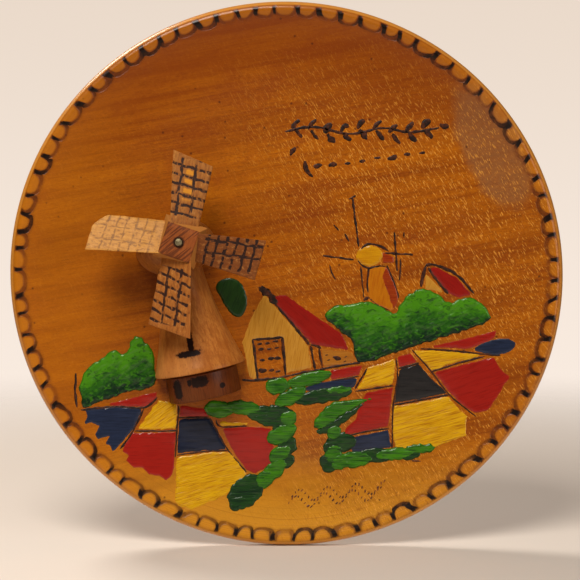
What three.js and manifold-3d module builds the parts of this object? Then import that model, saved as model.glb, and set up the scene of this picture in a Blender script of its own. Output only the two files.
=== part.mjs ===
// Souvenir plate: a turned beech plate with a small half-round windmill glued to its painted face.
// The mill's sail cross turns on a nail. Sizes are in millimetres, +Z is up and the face looks along -Y.
// The origin is the centre of the flat foot on the back.

import * as THREE from "three";
import { mergeVertices } from "three/addons/utils/BufferGeometryUtils.js";
import Module from "manifold-3d";

const wasm = await Module();
wasm.setup();

// Plate. It has dried a little narrower across the grain than along it, as turned wood does.
const plateDiameter = 160;
const dryingLoss = 2.8;
const grainFall = THREE.MathUtils.degToRad(11);
const plateDepth = 13;
const dishDepth = 3.5;
const rimRoundWidth = 2.4;
const rimEdgeDrop = 3.4;
const rimSlopeWidth = 21.6;
const footRadius = 46;
const footStep = 1.4;
const footStepWidth = 0.8;
const undersideSag = 1.6;

// Mill tower, turned in the round and sawn in half along its axis.
const drumRadius = 10.5;
const drumHeight = 8;
const grooveRadius = 9.6;
const grooveHeight = 0.7;
const skirtRadius = 13.2;
const skirtEdge = 0.7;
const flareRadius = 7.1;
const flareHeight = 18;
const neckRadius = 6.4;
const neckHeight = 29.3;
const capRadius = 11.6;
const capHalfHeight = 8.3;
const millLean = THREE.MathUtils.degToRad(11.3);
const millCornerBearing = THREE.MathUtils.degToRad(218.2);
const millCornerGap = 7.65;
const nailAside = 2.4;
const nailAboveCapCentre = 1.1;

// Sail cross, carved from one square block: each blade slopes from the block's front to its back.
const bladeCount = 4;
const bladeTip = 25.3;
const bladeRoot = 2;
const bladeTipSlant = 2.8;
const bladeRootLead = 3.6;
const bladeRootTrail = 4.3;
const bladeTipLead = 5.8;
const bladeTipTrail = 5.2;
const crossThickness = 6;
const bladeThickness = 1.5;
const hubSide = 9.6;
const hubTurn = THREE.MathUtils.degToRad(9);
const sailTurn = THREE.MathUtils.degToRad(9.6);

// Nail that the sails turn on.
const nailHeadRadius = 1.2;
const nailHeadThickness = 0.6;
const nailShankRadius = 0.6;
const nailBite = 6;
const nailPoint = 1.5;

// Clearances.
const glueGap = 0.3;
const sailBackGap = 0.5;
const headGap = 0.3;
const boreClearance = 0.1;
const nailHoleClearance = 0.1;

// Facets.
const plateSegments = 96;
const slopeSteps = 7;
const edgeSteps = 6;
const towerSegments = 56;
const flareSteps = 10;
const capSteps = 12;
const bladeSteps = 4;
const boreSegments = 20;

const plateRadius = plateDiameter / 2;
const faceHeight = plateDepth - dishDepth;
const rimCrestRadius = plateRadius - rimRoundWidth;
const faceRadius = rimCrestRadius - rimSlopeWidth;
const neckTopHeight = drumHeight + neckHeight;
const capNeckAngle = Math.acos(neckRadius / capRadius);
const capCentreHeight = neckTopHeight + capHalfHeight * Math.sin(capNeckAngle);
const nailHeight = capCentreHeight + nailAboveCapCentre;
const towerProfile = towerPoints();
const sweptProfile = towerProfile.filter((point) => point.y > nailHeight - bladeTip);
const hubBack = Math.max(...sweptProfile.map((point) => point.x)) + sailBackGap;
const hubFront = hubBack + crossThickness;
const nailPointDepth = capRadius - nailBite;

function toManifold(geometry) {
  const bare = geometry.clone();
  bare.deleteAttribute("normal");
  bare.deleteAttribute("uv");
  const merged = mergeVertices(bare, 1e-4);
  const vertProperties = new Float32Array(merged.attributes.position.array);
  const triVerts = new Uint32Array(merged.index.array);
  return new wasm.Manifold(new wasm.Mesh({ numProp: 3, vertProperties, triVerts }));
}

function toGeometry(solid) {
  const mesh = solid.getMesh();
  const geometry = new THREE.BufferGeometry();
  geometry.setAttribute("position", new THREE.BufferAttribute(new Float32Array(mesh.vertProperties), 3));
  geometry.setIndex(new THREE.BufferAttribute(new Uint32Array(mesh.triVerts), 1));
  geometry.computeVertexNormals();
  return geometry;
}

function wood(name, geometry, color, roughness) {
  const mesh = new THREE.Mesh(geometry, new THREE.MeshStandardMaterial({ color, roughness, metalness: 0 }));
  mesh.name = name;
  return mesh;
}

// The profile runs from the centre of the foot, out under the rim, round its edge and back over the face.
function platePoints() {
  const points = [new THREE.Vector2(0, 0), new THREE.Vector2(footRadius, 0)];
  const stepRadius = footRadius + footStepWidth;
  const edgeHeight = plateDepth - rimEdgeDrop;
  const underside = new THREE.QuadraticBezierCurve(
    new THREE.Vector2(stepRadius, footStep),
    new THREE.Vector2((stepRadius + plateRadius) / 2 + undersideSag, (footStep + edgeHeight) / 2 - undersideSag),
    new THREE.Vector2(plateRadius, edgeHeight),
  );
  points.push(...underside.getPoints(edgeSteps));
  for (let step = 1; step <= edgeSteps; step += 1) {
    const angle = (step / edgeSteps) * (Math.PI / 2);
    const radius = rimCrestRadius + rimRoundWidth * Math.cos(angle);
    points.push(new THREE.Vector2(radius, edgeHeight + rimEdgeDrop * Math.sin(angle)));
  }
  for (let step = 1; step <= slopeSteps; step += 1) {
    const share = 1 - step / slopeSteps;
    points.push(new THREE.Vector2(faceRadius + rimSlopeWidth * share, faceHeight + dishDepth * share * share));
  }
  points.push(new THREE.Vector2(0, faceHeight));
  return points;
}

function makePlate() {
  const geometry = new THREE.LatheGeometry(platePoints(), plateSegments);
  geometry.scale(1, 1, (plateDiameter - dryingLoss) / plateDiameter);
  geometry.rotateY(-grainFall);
  geometry.rotateX(Math.PI);
  return wood("turned_plate", geometry, 0xb8691c, 0.35);
}

// The tower's profile rises from the drum, through the flared skirt and the neck, to the rounded cap.
function towerPoints() {
  const skirtHeight = drumHeight;
  const points = [
    new THREE.Vector2(0, 0),
    new THREE.Vector2(drumRadius, 0),
    new THREE.Vector2(drumRadius, skirtHeight - grooveHeight),
    new THREE.Vector2(grooveRadius, skirtHeight),
    new THREE.Vector2(skirtRadius, skirtHeight),
  ];
  const flare = new THREE.QuadraticBezierCurve(
    new THREE.Vector2(skirtRadius, skirtHeight + skirtEdge),
    new THREE.Vector2(flareRadius, skirtHeight + flareHeight),
    new THREE.Vector2(neckRadius, neckTopHeight),
  );
  points.push(...flare.getPoints(flareSteps));
  for (let step = 1; step < capSteps; step += 1) {
    const angle = THREE.MathUtils.lerp(-capNeckAngle, Math.PI / 2, step / capSteps);
    const height = capCentreHeight + capHalfHeight * Math.sin(angle);
    points.push(new THREE.Vector2(capRadius * Math.cos(angle), height));
  }
  points.push(new THREE.Vector2(0, capCentreHeight + capHalfHeight));
  return points;
}

function makeTower() {
  const turned = new THREE.LatheGeometry(towerProfile, towerSegments);
  turned.rotateX(Math.PI / 2);
  const sawnAway = new THREE.BoxGeometry(4 * skirtRadius, 2 * skirtRadius, 4 * nailHeight);
  sawnAway.translate(0, skirtRadius, 0);
  const holeRadius = nailShankRadius + nailHoleClearance;
  const holeLength = 2 * capRadius;
  const nailHole = new THREE.CylinderGeometry(holeRadius, holeRadius, holeLength, boreSegments);
  nailHole.translate(nailAside, headGap - nailPointDepth - holeLength / 2, nailHeight);
  const half = toManifold(turned).subtract(toManifold(sawnAway)).subtract(toManifold(nailHole));
  return wood("mill_tower", toGeometry(half), 0xa8602c, 0.45);
}

// A unit box is bent into a blade: x runs across it, y from its front to its back, and z out to its tip.
function bladeGeometry() {
  const blade = new THREE.BoxGeometry(1, 1, 1, 1, 1, bladeSteps);
  const spots = blade.attributes.position;
  for (let index = 0; index < spots.count; index += 1) {
    const across = spots.getX(index) + 0.5;
    const back = spots.getY(index) + 0.5;
    const out = spots.getZ(index) + 0.5;
    const lead = -THREE.MathUtils.lerp(bladeRootLead, bladeTipLead, out);
    const trail = THREE.MathUtils.lerp(bladeRootTrail, bladeTipTrail, out);
    const frontFace = THREE.MathUtils.lerp(crossThickness, bladeThickness, across);
    const depth = frontFace - bladeThickness * back;
    const reach = bladeRoot + (bladeTip - bladeRoot - bladeTipSlant * across) * out;
    spots.setXYZ(index, THREE.MathUtils.lerp(lead, trail, across), -depth, reach);
  }
  return blade;
}

function makeSails() {
  const hub = new THREE.BoxGeometry(hubSide, crossThickness, hubSide);
  hub.translate(0, -crossThickness / 2, 0);
  hub.rotateY(hubTurn);
  let cross = toManifold(hub);
  for (let index = 0; index < bladeCount; index += 1) {
    const blade = bladeGeometry();
    blade.rotateY((index * 2 * Math.PI) / bladeCount);
    cross = cross.add(toManifold(blade));
  }
  const boreRadius = nailShankRadius + boreClearance;
  const bore = new THREE.CylinderGeometry(boreRadius, boreRadius, 3 * crossThickness, boreSegments);
  return wood("sail_cross", toGeometry(cross.subtract(toManifold(bore))), 0xc08a48, 0.6);
}

// The nail lies along Y with its head in front of the hub and its point inside the cap.
function makeNail() {
  const headBack = hubFront + headGap;
  const headFront = headBack + nailHeadThickness;
  const points = [
    new THREE.Vector2(0, nailPointDepth),
    new THREE.Vector2(nailShankRadius, nailPointDepth + nailPoint),
    new THREE.Vector2(nailShankRadius, headBack),
    new THREE.Vector2(nailHeadRadius, headBack),
    new THREE.Vector2(nailHeadRadius, headBack + nailHeadThickness / 2),
    new THREE.Vector2(nailShankRadius, headFront),
    new THREE.Vector2(0, headFront),
  ];
  const geometry = new THREE.LatheGeometry(points, boreSegments);
  geometry.rotateX(Math.PI);
  const material = new THREE.MeshStandardMaterial({ color: 0x9c9a90, roughness: 0.4, metalness: 0.9 });
  const nail = new THREE.Mesh(geometry, material);
  nail.name = "axle_nail";
  return nail;
}

// The skirt's outer corner keeps its distance from the edge of the flat face, so the mill stays on the flat.
function placeMill(mill) {
  const cornerReach = faceRadius - millCornerGap;
  const corner = new THREE.Vector3(-skirtRadius, 0, drumHeight).applyAxisAngle(new THREE.Vector3(0, 1, 0), -millLean);
  mill.rotation.y = -millLean;
  mill.position.x = cornerReach * Math.cos(millCornerBearing) - corner.x;
  mill.position.y = -faceHeight - glueGap;
  mill.position.z = cornerReach * Math.sin(millCornerBearing) - corner.z;
}

const mill = new THREE.Group();
mill.add(makeTower());
const nail = makeNail();
nail.position.set(nailAside, 0, nailHeight);
mill.add(nail);
const sails = makeSails();
sails.position.set(nailAside, -hubBack, nailHeight);
sails.rotation.y = millLean + sailTurn;
mill.add(sails);
placeMill(mill);

const souvenirPlate = new THREE.Group();
souvenirPlate.add(makePlate());
souvenirPlate.add(mill);

export default souvenirPlate;
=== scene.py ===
import math
import random

import bmesh
import bpy
import numpy as np
from mathutils import Matrix, Vector, noise


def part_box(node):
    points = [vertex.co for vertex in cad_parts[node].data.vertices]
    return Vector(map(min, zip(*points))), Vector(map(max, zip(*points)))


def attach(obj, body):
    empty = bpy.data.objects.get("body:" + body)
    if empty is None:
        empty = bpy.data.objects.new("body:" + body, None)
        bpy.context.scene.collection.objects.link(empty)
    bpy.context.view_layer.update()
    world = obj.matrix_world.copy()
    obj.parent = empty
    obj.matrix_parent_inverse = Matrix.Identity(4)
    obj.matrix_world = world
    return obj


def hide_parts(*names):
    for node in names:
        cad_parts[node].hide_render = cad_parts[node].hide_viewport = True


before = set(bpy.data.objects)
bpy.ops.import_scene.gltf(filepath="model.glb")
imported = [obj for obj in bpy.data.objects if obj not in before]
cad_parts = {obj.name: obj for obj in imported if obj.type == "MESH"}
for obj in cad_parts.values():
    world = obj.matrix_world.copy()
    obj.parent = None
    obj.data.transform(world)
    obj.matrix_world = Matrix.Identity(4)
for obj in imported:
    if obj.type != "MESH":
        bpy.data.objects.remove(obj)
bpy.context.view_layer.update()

mm = 0.001
handSeed = 7
random.seed(handSeed)
noise.seed_set(handSeed)  # without it noise_vector follows the clock


# ---- materials ----

softGloss = 0.16  # specular level of old varnish and paint


def tone(red, green, blue):
    # a colour as the eye sees it, 0 to 255, made linear for the shader
    linear = []
    for part in (red, green, blue):
        share = part / 255
        linear.append(share / 12.92 if share <= 0.04045 else ((share + 0.055) / 1.055) ** 2.4)
    return (*linear, 1)


class Wire:
    # one socket of a material; sums on it add Math nodes
    def __init__(self, finish, socket):
        self.finish = finish
        self.socket = socket

    def __add__(self, other):
        return self.finish.maths("ADD", self, other)

    __radd__ = __add__

    def __sub__(self, other):
        return self.finish.maths("SUBTRACT", self, other)

    def __rsub__(self, other):
        return self.finish.maths("SUBTRACT", other, self)

    def __mul__(self, other):
        return self.finish.maths("MULTIPLY", self, other)

    __rmul__ = __mul__

    def __truediv__(self, other):
        return self.finish.maths("DIVIDE", self, other)

    def __rtruediv__(self, other):
        return self.finish.maths("DIVIDE", other, self)

    def __pow__(self, other):
        return self.finish.maths("POWER", self, other)

    def __rpow__(self, other):
        return self.finish.maths("POWER", other, self)

    def __abs__(self):
        return self.finish.maths("ABSOLUTE", self)


class Finish:
    # a material or a world being made; every node comes from node()
    def __init__(self, name, kind="materials"):
        self.owner = getattr(bpy.data, kind).new(name)
        self.owner.use_nodes = True
        self.tree = self.owner.node_tree
        self.tree.nodes.clear()
        self.color = None

    def node(self, kind, settings=None, inputs=None, output=0):
        made = self.tree.nodes.new(kind)
        for key, value in (settings or {}).items():
            setattr(made, key, value)
        for key, value in (inputs or {}).items():
            if isinstance(value, Wire):
                self.tree.links.new(value.socket, made.inputs[key])
            else:
                made.inputs[key].default_value = value
        return Wire(self, made.outputs[output]) if made.outputs else None

    def maths(self, operation, first, second=0.0):
        return self.node("ShaderNodeMath", {"operation": operation}, {0: first, 1: second})

    def pattern(self, size=(1, 1, 1), turn=0.0, move=(0, 0, 0)):
        # the place on the object, counted in steps of size (mm) along axes turned about Y
        inputs = {
            "Vector": self.node("ShaderNodeTexCoord", output="Object"),
            "Location": [part * mm for part in move],
            "Rotation": (0, turn, 0),
            "Scale": [part * mm for part in size],
        }
        return self.node("ShaderNodeMapping", {"vector_type": "TEXTURE"}, inputs)

    def stretch(self, vector, size):
        return self.node("ShaderNodeMapping", {"vector_type": "TEXTURE"}, {"Vector": vector, "Scale": size})

    def parts(self, vector):
        first = self.node("ShaderNodeSeparateXYZ", None, {0: vector})
        return [Wire(self, socket) for socket in first.socket.node.outputs]

    def attribute(self, name, output="Fac"):
        return self.node("ShaderNodeAttribute", {"attribute_name": name}, None, output)

    def cloud(self, vector, detail=2.0, roughness=0.5, distortion=0.0):
        inputs = {"Vector": vector, "Scale": 1, "Detail": detail}
        inputs.update({"Roughness": roughness, "Distortion": distortion})
        return self.node("ShaderNodeTexNoise", None, inputs)

    def ease(self, value, low, high):
        inputs = {0: value, 1: low, 2: high, 3: 0, 4: 1}
        return self.node("ShaderNodeMapRange", {"interpolation_type": "SMOOTHSTEP"}, inputs)

    def blend(self, share, first, second):
        return self.node("ShaderNodeMix", {"data_type": "RGBA"}, {0: share, 6: first, 7: second}, 2)

    def stain(self, share, *shade):
        # one more colour over those laid before, by its share
        self.color = self.blend(share, self.color, tone(*shade))

    def done(self, roughness, height, depth, **fixed):
        # height times depth (mm) is the relief
        relief = {"Strength": 1, "Distance": depth * mm, "Height": height}
        inputs = {
            "Base Color": self.color,
            "Roughness": roughness,
            "Normal": self.node("ShaderNodeBump", None, relief, "Normal"),
            "Specular IOR Level": softGloss,
        }
        for name, value in fixed.items():
            inputs[name.replace("_", " ")] = value
        surface = self.node("ShaderNodeBsdfPrincipled", None, inputs)
        self.node("ShaderNodeOutputMaterial", None, {"Surface": surface})
        return self.owner


# ---- mesh helpers ----

weldGap = 1e-4


def objectFrom(name, bm, material):
    mesh = bpy.data.meshes.new(name)
    bm.to_mesh(mesh)
    bm.free()
    mesh.materials.append(material)
    made = bpy.data.objects.new(name, mesh)
    bpy.context.scene.collection.objects.link(made)
    return made


def keep(name, bm, material, body, stands=None, sharp=35):
    # turns a finished bmesh (mm) into a piece of the object (m)
    bmesh.ops.scale(bm, vec=(mm, mm, mm), verts=bm.verts)
    limit = math.radians(sharp)
    for edge in bm.edges:
        if len(edge.link_faces) == 2:
            edge.smooth = edge.calc_face_angle(0) < limit
    for face in bm.faces:
        face.smooth = True
    piece = objectFrom(name, bm, material)
    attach(piece, body)
    if stands:
        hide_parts(stands)
    print("made", name, len(piece.data.polygons), "faces")


def turned(points, axis, turns, centre=(0, 0, 0)):
    # a closed solid spun from its template, as on a lathe
    bm = bmesh.new()
    verts = [bm.verts.new(point) for point in points]
    for first, second in zip(verts, verts[1:]):
        bm.edges.new((first, second))
    bmesh.ops.spin(bm, geom=bm.verts[:] + bm.edges[:], cent=centre, axis=axis,
                   angle=2 * math.pi, steps=turns, use_merge=True)
    bmesh.ops.remove_doubles(bm, verts=bm.verts, dist=weldGap)
    bmesh.ops.recalc_face_normals(bm, faces=bm.faces)
    return bm


def arc(centre, radii, start, end, steps):
    # points (radius, height) on a part of an ellipse; angles in degrees
    found = []
    for step in range(steps + 1):
        angle = math.radians(start + (end - start) * step / steps)
        found.append((centre[0] + radii[0] * math.cos(angle), centre[1] + radii[1] * math.sin(angle)))
    return found


def curve(first, control, last, steps):
    # a quadratic curve, as the lathe's templates are drawn
    found = []
    for step in range(steps + 1):
        t = step / steps
        weights = ((1 - t) ** 2, 2 * t * (1 - t), t * t)
        spots = list(zip(weights, (first, control, last)))
        found.append(tuple(sum(weight * spot[axis] for weight, spot in spots) for axis in (0, 1)))
    return found


# ---- plate ----

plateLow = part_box("turned_plate")[0]
plate = {
    "longRadius": 80,
    "shortRadius": 78.6,
    "grainFall": math.radians(11),  # the long way of the oval falls to the right
    "depth": -plateLow.y / mm,
    "dishDepth": 3.5,
    "crestRadius": 77.6,
    "edgeDrop": 3.4,
    "slopeWidth": 21.6,
    "footRadius": 46,
    "footStep": 1.4,
    "footStepWidth": 0.8,
    "footRound": (0.3, 0.2),
    "ringInsets": (7, 5),  # two turned rings, counted inwards from the foot's edge
    "ringHalf": 0.4,
    "ringDepth": 0.25,
    "undersideSag": 1.6,
    "underSteps": 20,
    "rimSteps": 14,
    "slopeSteps": 36,
    "flatRings": 14,
    "turns": 360,
    "scallops": 82,
    "scallopCentre": 78.1,
    "scallopRadius": 2.75,
    "bandRise": math.radians(-10),
    "fleckFall": math.radians(57),
    "darkWood": (128, 59, 3),
    "lightWood": (166, 90, 5),
    "brownChar": (92, 40, 10),
    "blackChar": (22, 9, 4),
    "relief": 0.09,
}
plate["faceHeight"] = plate["depth"] - plate["dishDepth"]
plate["roundness"] = plate["shortRadius"] / plate["longRadius"]


def plateRadius(x, z):
    # distance from the middle once the dried oval is made round again
    turn = plate["grainFall"]
    along = x * math.cos(turn) - z * math.sin(turn)
    across = x * math.sin(turn) + z * math.cos(turn)
    return math.hypot(along, across * plate["longRadius"] / plate["shortRadius"])


def faceAt(x, z):
    # y of the dished face, mm
    share = (plateRadius(x, z) - plate["crestRadius"] + plate["slopeWidth"]) / plate["slopeWidth"]
    return -plate["faceHeight"] - plate["dishDepth"] * min(max(share, 0), 1) ** 2


def plateProfile():
    crest = plate["crestRadius"]
    edge = plate["depth"] - plate["edgeDrop"]
    reach = plate["longRadius"]
    foot = plate["footRadius"]
    points = [(0, 0)]
    for inset in plate["ringInsets"]:
        ring = foot - inset
        points += [(ring - plate["ringHalf"], 0), (ring, plate["ringDepth"]), (ring + plate["ringHalf"], 0)]
    points += [(foot - plate["footRound"][0], 0), (foot, plate["footRound"][1])]
    stepRadius = foot + plate["footStepWidth"]
    sag = plate["undersideSag"]
    middle = ((stepRadius + reach) / 2 + sag, (plate["footStep"] + edge) / 2 - sag)
    points += curve((stepRadius, plate["footStep"]), middle, (reach, edge), plate["underSteps"])
    points += arc((crest, edge), (reach - crest, plate["edgeDrop"]), 0, 90, plate["rimSteps"])[1:]
    for step in range(1, plate["slopeSteps"] + 1):
        share = 1 - step / plate["slopeSteps"]
        radius = crest - plate["slopeWidth"] * (1 - share)
        points.append((radius, plate["faceHeight"] + plate["dishDepth"] * share ** 2))
    flat = crest - plate["slopeWidth"]
    for ring in range(1, plate["flatRings"] + 1):
        points.append((flat * (1 - ring / plate["flatRings"]), plate["faceHeight"]))
    return points


def burntScallops(wood, y):
    # scallops burnt round the rim, one by one
    home = wood.pattern((1, 1, plate["roundness"]), plate["grainFall"])
    across, _, up = wood.parts(home)
    radius = (across ** 2 + up ** 2) ** 0.5
    angle = wood.maths("ARCTAN2", up, across)
    wander = wood.cloud(wood.pattern((9, 9, 9)), 1) * 1.1
    count = angle * (plate["scallops"] / (2 * math.pi)) + wander
    cell = wood.maths("FLOOR", count)
    joint = wood.maths("ROUND", count)

    def drawLots(number, shift):
        # one even chance for each scallop or joint
        lap = wood.maths("FLOORED_MODULO", number, plate["scallops"])
        return wood.node("ShaderNodeTexWhiteNoise", {"noise_dimensions": "1D"}, {"W": lap + shift}, "Value")

    chance = drawLots(cell, 0.25)
    other = drawLots(cell, 0.5)
    third = drawLots(joint, 0.75)
    part = count - cell - 0.5
    pitch = 2 * math.pi * plate["scallopCentre"] / plate["scallops"]
    hand = wood.cloud(wood.pattern((1.3, 1.3, 1.3)), 2, 0.5)
    inward = plate["scallopCentre"] - radius
    deep = wood.maths("MAXIMUM", inward, 0)
    aside = part * pitch + (other - 0.5) * 0.4
    reach = (abs(aside) ** 2.5 + (deep * 0.95) ** 2.5) ** 0.4
    offArc = abs(reach - (plate["scallopRadius"] - 0.2 + 0.4 * chance)) - hand * 0.4
    near = abs(part) * 2
    arcWidth = 0.26 * other - 0.13 + 0.3 * near ** 3
    onSlope = wood.ease(inward, -0.7, -0.2) * wood.ease(y, -9.8, -10.4)
    pressed = wood.ease(chance + 0.5 * near + hand * 0.5, 0.35, 0.62)
    arcs = wood.ease(offArc, arcWidth + 0.3, arcWidth) * pressed
    arcs = arcs * (0.4 + 0.6 * wood.maths("MAXIMUM", near ** 2, other))
    dashSide = abs((count - joint) * pitch + deep * (0.55 * third - 0.05)) - hand * 0.3
    dashWidth = 0.26 + 0.36 * third - deep * 0.08
    dashLength = wood.ease(inward, 2.6, 1.6) * wood.ease(inward, -0.3, 0.2)
    dashes = wood.ease(dashSide, dashWidth + 0.2, dashWidth - 0.05) * dashLength
    heat = wood.ease(chance * 0.45 + hand * 0.5 + dashes * 0.5 + near * 0.2, 0.35, 0.85)
    line = wood.maths("MAXIMUM", arcs, dashes) * onSlope
    halo = wood.ease(offArc, arcWidth + 0.9, arcWidth) * onSlope
    inside = wood.ease(reach, 2.5, 1.8) * onSlope
    wood.stain(inside * 0.35, 196, 122, 26)
    wood.stain(halo * 0.45, 104, 46, 6)
    char = wood.blend(heat, tone(*plate["brownChar"]), tone(*plate["blackChar"]))
    wood.color = wood.blend(line * (0.55 + 0.45 * heat), wood.color, char)
    # the bare rounded rim outside them
    wood.stain(wood.ease(inward, -0.4, -0.9) * 0.6, 214, 146, 60)
    return line, inward, radius


def beechFinish():
    wood = Finish("varnishedBeech")
    rise = plate["bandRise"]
    fall = plate["fleckFall"]
    x, y, z = wood.parts(wood.pattern())
    bands = wood.cloud(wood.pattern((120, 14, 5.5), rise), 4, 0.55, 0.2)
    fineBands = wood.cloud(wood.pattern((60, 5, 1.5), rise), 3, 0.6)
    fibre = wood.cloud(wood.pattern((11, 0.8, 0.32), rise), 3, 0.6)
    mottle = wood.cloud(wood.pattern((16, 16, 11), rise), 3, 0.6, 0.6)
    pores = wood.cloud(wood.pattern((2.2, 0.8, 0.17), rise), 1, 0.5)
    grit = wood.cloud(wood.pattern((0.9, 0.9, 0.5), rise), 3, 0.7)
    wood.color = wood.blend(wood.ease(bands, 0.3, 0.7), tone(*plate["darkWood"]), tone(*plate["lightWood"]))
    wood.stain(wood.ease(fineBands, 0.38, 0.66) * 0.4, 172, 97, 6)
    wood.stain(wood.ease(fineBands, 0.44, 0.3) * 0.35, 112, 48, 2)
    wood.stain(wood.ease(fibre, 0.44, 0.72) * 0.45, 120, 54, 3)
    wood.stain(wood.ease(mottle, 0.5, 0.72) * 0.4, 128, 54, 8)
    wood.stain(wood.ease(pores, 0.58, 0.72) * 0.5, 92, 40, 2)
    wood.stain(wood.ease(grit, 0.45, 0.7) * 0.28, 112, 50, 3)
    wood.stain(wood.ease(grit, 0.45, 0.25) * 0.3, 192, 112, 18)
    # painted light: lighter and yellower on the rim's lower slope, as where the light from above falls on it;
    # lighter also towards the left
    low = wood.ease(z + mottle * 16, -36, -66)
    wood.stain(low * 0.75, 204, 142, 34)
    wood.stain(wood.ease(mottle * 14 - x, 46, 70) * 0.35, 170, 98, 8)
    # painted shade: darker and redder towards the top, where the rim slopes away from the light above; and
    # one stain in the wood
    dark = wood.ease(z + abs(x) * 0.2 + mottle * 20, 50, 84)
    wood.stain(dark * 0.7, 118, 50, 3)
    fromStain = ((x - 6) ** 2 + (z - 21) ** 2) ** 0.5
    wood.stain(wood.ease(fromStain + mottle * 10, 17, 5) * 0.45, 118, 48, 8)
    # a dull bloom in the varnish
    along, _, beside = wood.parts(wood.pattern((20, 1, 8.6), math.radians(63), (59, 0, 37)))
    hatch = wood.cloud(wood.pattern((0.5, 0.5, 3), fall), 2, 0.6)
    fromBloom = (along ** 2 + beside ** 2) ** 0.5 + mottle * 0.7 + hatch * 0.2
    bloom = wood.ease(fromBloom, 1.55, 1.2) * wood.ease(y, -8, -9)
    wood.stain(bloom * (0.3 + 0.6 * hatch), 124, 82, 46)
    # rays of the beech: short light dashes, and a few dark ones
    zone = wood.ease(x + z * 0.1 + mottle * 30, -6, 38) * wood.ease(z, 76, 40)
    ray = wood.cloud(wood.pattern((1.5, 1.5, 0.27), fall), 1, 0.4)
    rays = wood.ease(ray, 0.59, 0.68) * (0.1 + 0.9 * zone)
    # the rays fade under the painted shade towards the top
    wood.stain(rays * (0.55 - dark * 0.3), 222, 152, 56)
    darkRay = wood.cloud(wood.pattern((1.4, 1.5, 0.26), fall, (3, 0, 5)), 1, 0.4)
    wood.stain(wood.ease(darkRay, 0.56, 0.7) * (0.1 + 0.32 * zone), 116, 50, 3)
    # specks
    cells = {"Vector": wood.pattern((5, 5, 5)), "Scale": 1}
    speckle = wood.node("ShaderNodeTexVoronoi", None, cells, "Distance")
    wood.stain(wood.ease(speckle, 0.1, 0.04) * 0.7, 70, 26, 8)
    line, inward, radius = burntScallops(wood, y)
    # rings left by the lathe on the slope and the back
    lathe = {"W": radius * 1.7, "Scale": 1, "Detail": 3, "Roughness": 0.7}
    rings = wood.node("ShaderNodeTexNoise", {"noise_dimensions": "1D"}, lathe)
    # on the face they show most on the lower slope, under the painted light there
    onTurning = wood.ease(inward, 20, 14) * (0.2 + 0.8 * low) + wood.ease(y, -8, -4)
    wood.stain(wood.ease(rings, 0.56, 0.7) * onTurning * 0.3 * (1 - line), 120, 62, 10)
    # relief: fibres, rays and the burnt grooves under the varnish
    height = 0.5 + fibre * 0.25 + fineBands * 0.2 + grit * 0.2 - pores * 0.2 + rays * 0.22
    height = height - line * 1.6 + rings * onTurning * 0.5
    roughness = 0.26 + fibre * 0.1 + mottle * 0.06 + bloom * 0.2
    return wood.done(roughness, height, plate["relief"], Coat_Weight=0.22, Coat_Roughness=0.14)


def makePlate():
    points = [(radius, -height, 0) for radius, height in plateProfile()]
    bm = turned(points, (0, 1, 0), plate["turns"])
    bmesh.ops.scale(bm, vec=(1, 1, plate["roundness"]), verts=bm.verts)
    bmesh.ops.rotate(bm, matrix=Matrix.Rotation(plate["grainFall"], 3, "Y"), verts=bm.verts)
    keep("plate_body", bm, beechFinish(), "plate", "turned_plate", 50)


# ---- paint ----

skins = {
    "outlineStep": 0.6,
    "domeWidth": 0.55,
    "tuck": 0.04,  # how far a skin's edge dips into the face
    "bed": 0.12,
    "thick": 0.14,
    "dabLength": 1.12,
    "dabWidth": 1.18,
}
paints = {  # each from dark to light
    "red": ((104, 15, 9), (138, 22, 14), (154, 30, 18)),
    "roof": ((88, 11, 7), (128, 18, 11), (142, 24, 15)),
    "blue": ((12, 16, 26), (26, 33, 52), (38, 48, 74)),
    # painted shade: a darker copy of the blue, for the blue field that lies in the tower's shadow
    "blueInShade": ((8, 11, 22), (17, 23, 40), (30, 38, 62)),
    "slate": ((14, 14, 16), (30, 28, 28), (42, 40, 40)),
    "yellow": ((144, 84, 4), (182, 126, 4), (208, 160, 8)),
    "cream": ((138, 80, 14), (168, 112, 26), (188, 136, 50)),
    "side": ((122, 64, 8), (148, 86, 16), (166, 106, 28)),
    "amber": ((136, 62, 4), (164, 88, 5), (184, 118, 12)),
    "rust": ((92, 22, 5), (130, 40, 8), (150, 62, 10)),
    "cap": ((148, 78, 4), (176, 114, 5), (200, 148, 10)),
    "leaf": ((6, 34, 14), (27, 76, 10), (62, 122, 8)),
    "deep": ((4, 18, 12), (9, 36, 18), (34, 74, 18)),
    "tree": ((7, 22, 8), (18, 42, 10), (32, 64, 12)),
}


def resample(corners, step, closed=True):
    # even points along straight sides
    found = []
    count = len(corners)
    for index in range(count if closed else count - 1):
        first = Vector(corners[index])
        second = Vector(corners[(index + 1) % count])
        pieces = max(1, round((second - first).length / step))
        found += [first.lerp(second, part / pieces) for part in range(pieces)]
    if not closed:
        found.append(Vector(corners[-1]))
    return found


def rounded(corners, step, closed=True):
    # even points along a smooth curve through the corners
    found = []
    count = len(corners)
    spots = [Vector(corner) for corner in corners]
    for index in range(count if closed else count - 1):
        around = [index + shift for shift in (-1, 0, 1, 2)]
        if closed:
            a, b, c, d = (spots[place % count] for place in around)
        else:
            a, b, c, d = (spots[min(max(place, 0), count - 1)] for place in around)
        pieces = max(1, round((c - b).length / step))
        for part in range(pieces):
            t = part / pieces
            found.append(0.5 * (2 * b + (c - a) * t + (2 * a - 5 * b + 4 * c - d) * t * t
                                + (3 * b - a - 3 * c + d) * t ** 3))
    if not closed:
        found.append(spots[-1])
    return found


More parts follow.
